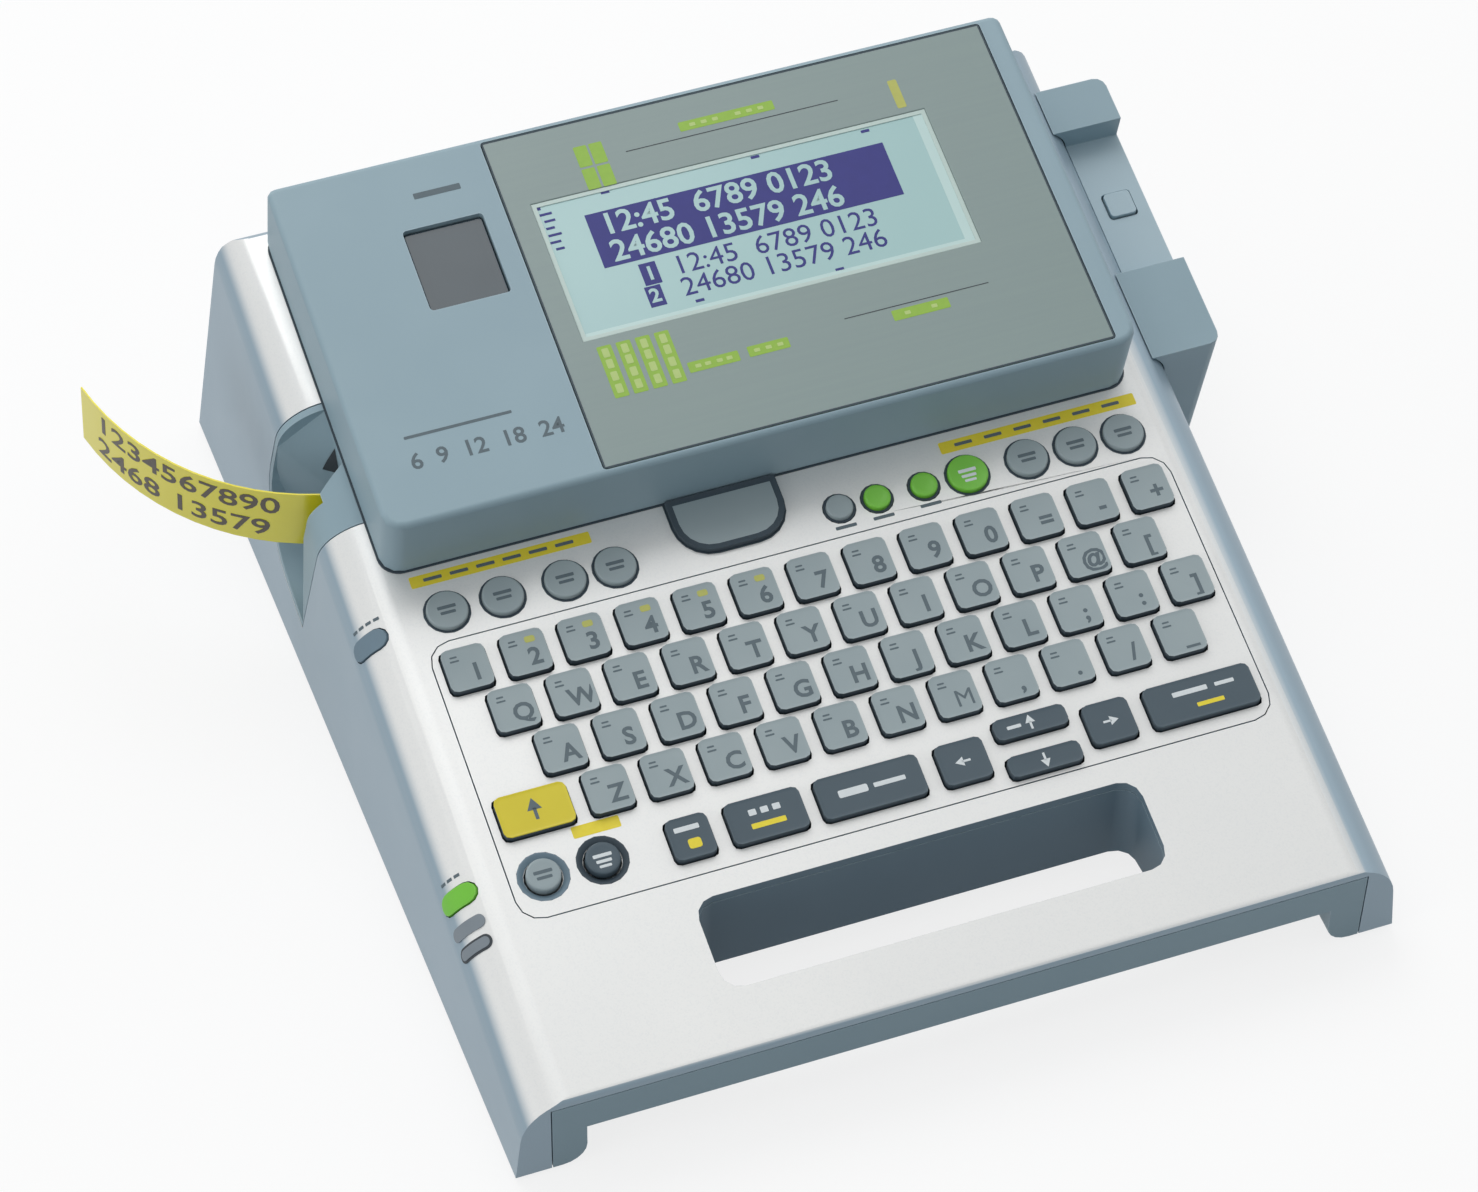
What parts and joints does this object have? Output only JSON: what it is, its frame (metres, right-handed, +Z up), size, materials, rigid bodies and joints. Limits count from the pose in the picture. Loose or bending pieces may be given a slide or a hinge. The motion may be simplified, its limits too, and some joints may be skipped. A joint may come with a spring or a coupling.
{
  "type": "label printer",
  "caption": "Desktop label printer with a sloping keyboard, a hinged display cover over the tape cassette and a carrying handle in front.",
  "frame": {"origin": "on the desk, under the middle of the bounding box", "axes": "+X to the right of the person typing, +Y away from them, +Z up"},
  "size_m": [0.2762, 0.2498, 0.0968],
  "materials": {
    "blue_grey": "fine texture",
    "silver": "satin silver paint on plastic",
    "dark_blue_grey": "fine texture",
    "grey_key": "fine texture",
    "dark_key": "fine texture",
    "green_key": "smooth",
    "yellow_key": "smooth",
    "display_print": "smooth printed panel",
    "lcd_glass": "clear cover over a pale display",
    "smoked_window": "smoked clear plastic",
    "label_tape": "laminated tape",
    "rubber": "matte",
    "board": "solder mask",
    "steel": "plain",
    "cell_wrap": "shrink wrap",
    "light_grey": "moulded"
  },
  "bodies": {
    "printer": {"base_case": "blue_grey", "top_case": "silver", "battery_pack": "cell_wrap", "front_left_foot": "rubber", "front_right_foot": "rubber", "back_left_foot": "rubber", "back_right_foot": "rubber", "keyboard_panel": "silver", "key_mat": "rubber", "main_board": "board", "hinge_pin_left": "steel", "hinge_pin_right": "steel", "cassette_bay": "dark_blue_grey", "tape_cassette": "light_grey", "print_head": "steel", "feed_motor": "steel", "tape_exit_bezel": "blue_grey", "printed_tape": "label_tape", "side_housing": "blue_grey"},
    "cover": {"cover_shell": "blue_grey", "display_panel": "display_print", "lcd_module": "lcd_glass", "tape_window": "smoked_window"},
    "battery_cover": {"battery_door": "blue_grey"},
    "platen": {"platen_roller": "rubber", "platen_gear": "light_grey"},
    "pinion": {"motor_pinion": "light_grey"},
    "tape_reel": {"tape_spool": "label_tape"},
    "ribbon_reel": {"ribbon_spool": "cell_wrap"},
    "cutter": {"cutter_blade": "steel"},
    "release_button_body": {"release_button": "blue_grey"},
    "power_button_body": {"power_button": "green_key"},
    "cut_button_body": {"cut_button": "dark_blue_grey"},
    "trimmer_button_body": {"trimmer_button": "blue_grey"},
    "number_row_keys_body": {"number_row_keys": "grey_key"},
    "upper_row_keys_body": {"upper_row_keys": "grey_key"},
    "home_row_keys_body": {"home_row_keys": "grey_key"},
    "lower_row_keys_body": {"lower_row_keys": "grey_key"},
    "shift_key_body": {"shift_key": "yellow_key"},
    "input_mode_key_body": {"input_mode_key": "dark_key"},
    "code_key_body": {"code_key": "dark_key"},
    "space_key_body": {"space_key": "dark_key"},
    "left_arrow_key_body": {"left_arrow_key": "dark_key"},
    "up_arrow_key_body": {"up_arrow_key": "dark_key"},
    "down_arrow_key_body": {"down_arrow_key": "dark_key"},
    "right_arrow_key_body": {"right_arrow_key": "dark_key"},
    "enter_key_body": {"enter_key": "dark_key"},
    "file_button_body": {"file_button": "grey_key"},
    "style_button_body": {"style_button": "grey_key"},
    "format_button_body": {"format_button": "grey_key"},
    "frame_button_body": {"frame_button": "grey_key"},
    "clear_button_body": {"clear_button": "grey_key"},
    "preview_button_body": {"preview_button": "green_key"},
    "feed_button_body": {"feed_button": "green_key"},
    "print_button_body": {"print_button": "green_key"},
    "memory_button_body": {"memory_button": "grey_key"},
    "settings_button_body": {"settings_button": "grey_key"},
    "copies_button_body": {"copies_button": "grey_key"},
    "symbol_button_body": {"symbol_button": "grey_key"},
    "rules_button_body": {"rules_button": "dark_key"}
  },
  "joints": [
    {"name": "cover_hinge", "type": "hinge", "parent": "printer", "child": "cover", "pos_m": [0.01313, 0.10553, 0.08096], "axis": [-1, 0, 0], "range_deg": [0, 75]},
    {"name": "battery_door_slide", "type": "slide", "parent": "printer", "child": "battery_cover", "axis": [0, 1, 0], "range_m": [0, 0.012]},
    {"name": "platen_spin", "type": "hinge", "parent": "printer", "child": "platen", "pos_m": [-0.06892, 0.04909, 0.04528], "axis": [0, -0.2028, 0.9792], "continuous": true},
    {"name": "pinion_spin", "type": "hinge", "parent": "printer", "child": "pinion", "pos_m": [-0.06892, 0.06797, 0.0257], "axis": [0, -0.2028, 0.9792], "continuous": true},
    {"name": "tape_reel_spin", "type": "hinge", "parent": "printer", "child": "tape_reel", "pos_m": [-0.01992, 0.06603, 0.04879], "axis": [0, -0.2028, 0.9792], "continuous": true},
    {"name": "ribbon_reel_spin", "type": "hinge", "parent": "printer", "child": "ribbon_reel", "pos_m": [-0.05092, 0.08415, 0.05254], "axis": [0, -0.2028, 0.9792], "continuous": true},
    {"name": "cutter_slide", "type": "slide", "parent": "printer", "child": "cutter", "axis": [0, -0.9792, -0.2028], "range_m": [0, 0.0038], "stiffness_N_per_m": 400},
    {"name": "release_button_press", "type": "slide", "parent": "printer", "child": "release_button_body", "axis": [0, 0.2028, -0.9792], "range_m": [0, 0.002], "stiffness_N_per_m": 1500},
    {"name": "power_button_press", "type": "slide", "parent": "printer", "child": "power_button_body", "axis": [0.7193, 0.1409, -0.6802], "range_m": [0, 0.0008], "stiffness_N_per_m": 1200},
    {"name": "cut_button_press", "type": "slide", "parent": "printer", "child": "cut_button_body", "axis": [0.7193, 0.1409, -0.6802], "range_m": [0, 0.0008], "stiffness_N_per_m": 1200},
    {"name": "trimmer_button_press", "type": "slide", "parent": "printer", "child": "trimmer_button_body", "axis": [0, 0.2028, -0.9792], "range_m": [0, 0.0015], "stiffness_N_per_m": 1500},
    {"name": "number_row_keys_press", "type": "slide", "parent": "printer", "child": "number_row_keys_body", "axis": [0, 0.2028, -0.9792], "range_m": [0, 0.0012], "stiffness_N_per_m": 800},
    {"name": "upper_row_keys_press", "type": "slide", "parent": "printer", "child": "upper_row_keys_body", "axis": [0, 0.2028, -0.9792], "range_m": [0, 0.0012], "stiffness_N_per_m": 800},
    {"name": "home_row_keys_press", "type": "slide", "parent": "printer", "child": "home_row_keys_body", "axis": [0, 0.2028, -0.9792], "range_m": [0, 0.0012], "stiffness_N_per_m": 800},
    {"name": "lower_row_keys_press", "type": "slide", "parent": "printer", "child": "lower_row_keys_body", "axis": [0, 0.2028, -0.9792], "range_m": [0, 0.0012], "stiffness_N_per_m": 800},
    {"name": "shift_key_press", "type": "slide", "parent": "printer", "child": "shift_key_body", "axis": [0, 0.2028, -0.9792], "range_m": [0, 0.0012], "stiffness_N_per_m": 500},
    {"name": "input_mode_key_press", "type": "slide", "parent": "printer", "child": "input_mode_key_body", "axis": [0, 0.2028, -0.9792], "range_m": [0, 0.0012], "stiffness_N_per_m": 500},
    {"name": "code_key_press", "type": "slide", "parent": "printer", "child": "code_key_body", "axis": [0, 0.2028, -0.9792], "range_m": [0, 0.0012], "stiffness_N_per_m": 500},
    {"name": "space_key_press", "type": "slide", "parent": "printer", "child": "space_key_body", "axis": [0, 0.2028, -0.9792], "range_m": [0, 0.0012], "stiffness_N_per_m": 500},
    {"name": "left_arrow_key_press", "type": "slide", "parent": "printer", "child": "left_arrow_key_body", "axis": [0, 0.2028, -0.9792], "range_m": [0, 0.0012], "stiffness_N_per_m": 500},
    {"name": "up_arrow_key_press", "type": "slide", "parent": "printer", "child": "up_arrow_key_body", "axis": [0, 0.2028, -0.9792], "range_m": [0, 0.0012], "stiffness_N_per_m": 500},
    {"name": "down_arrow_key_press", "type": "slide", "parent": "printer", "child": "down_arrow_key_body", "axis": [0, 0.2028, -0.9792], "range_m": [0, 0.0012], "stiffness_N_per_m": 500},
    {"name": "right_arrow_key_press", "type": "slide", "parent": "printer", "child": "right_arrow_key_body", "axis": [0, 0.2028, -0.9792], "range_m": [0, 0.0012], "stiffness_N_per_m": 500},
    {"name": "enter_key_press", "type": "slide", "parent": "printer", "child": "enter_key_body", "axis": [0, 0.2028, -0.9792], "range_m": [0, 0.0012], "stiffness_N_per_m": 500},
    {"name": "file_button_press", "type": "slide", "parent": "printer", "child": "file_button_body", "axis": [0, 0.2028, -0.9792], "range_m": [0, 0.0012], "stiffness_N_per_m": 500},
    {"name": "style_button_press", "type": "slide", "parent": "printer", "child": "style_button_body", "axis": [0, 0.2028, -0.9792], "range_m": [0, 0.0012], "stiffness_N_per_m": 500},
    {"name": "format_button_press", "type": "slide", "parent": "printer", "child": "format_button_body", "axis": [0, 0.2028, -0.9792], "range_m": [0, 0.0012], "stiffness_N_per_m": 500},
    {"name": "frame_button_press", "type": "slide", "parent": "printer", "child": "frame_button_body", "axis": [0, 0.2028, -0.9792], "range_m": [0, 0.0012], "stiffness_N_per_m": 500},
    {"name": "clear_button_press", "type": "slide", "parent": "printer", "child": "clear_button_body", "axis": [0, 0.2028, -0.9792], "range_m": [0, 0.0012], "stiffness_N_per_m": 500},
    {"name": "preview_button_press", "type": "slide", "parent": "printer", "child": "preview_button_body", "axis": [0, 0.2028, -0.9792], "range_m": [0, 0.0012], "stiffness_N_per_m": 500},
    {"name": "feed_button_press", "type": "slide", "parent": "printer", "child": "feed_button_body", "axis": [0, 0.2028, -0.9792], "range_m": [0, 0.0012], "stiffness_N_per_m": 500},
    {"name": "print_button_press", "type": "slide", "parent": "printer", "child": "print_button_body", "axis": [0, 0.2028, -0.9792], "range_m": [0, 0.0012], "stiffness_N_per_m": 500},
    {"name": "memory_button_press", "type": "slide", "parent": "printer", "child": "memory_button_body", "axis": [0, 0.2028, -0.9792], "range_m": [0, 0.0012], "stiffness_N_per_m": 500},
    {"name": "settings_button_press", "type": "slide", "parent": "printer", "child": "settings_button_body", "axis": [0, 0.2028, -0.9792], "range_m": [0, 0.0012], "stiffness_N_per_m": 500},
    {"name": "copies_button_press", "type": "slide", "parent": "printer", "child": "copies_button_body", "axis": [0, 0.2028, -0.9792], "range_m": [0, 0.0012], "stiffness_N_per_m": 500},
    {"name": "symbol_button_press", "type": "slide", "parent": "printer", "child": "symbol_button_body", "axis": [0, 0.2028, -0.9792], "range_m": [0, 0.0012], "stiffness_N_per_m": 500},
    {"name": "rules_button_press", "type": "slide", "parent": "printer", "child": "rules_button_body", "axis": [0, 0.2028, -0.9792], "range_m": [0, 0.0012], "stiffness_N_per_m": 500}
  ],
  "couplings": [
    {"joint": "pinion_spin", "follows": "platen_spin", "ratio": -2},
    {"joint": "tape_reel_spin", "follows": "platen_spin", "ratio": 0.225},
    {"joint": "ribbon_reel_spin", "follows": "platen_spin", "ratio": 0.5}
  ]
}
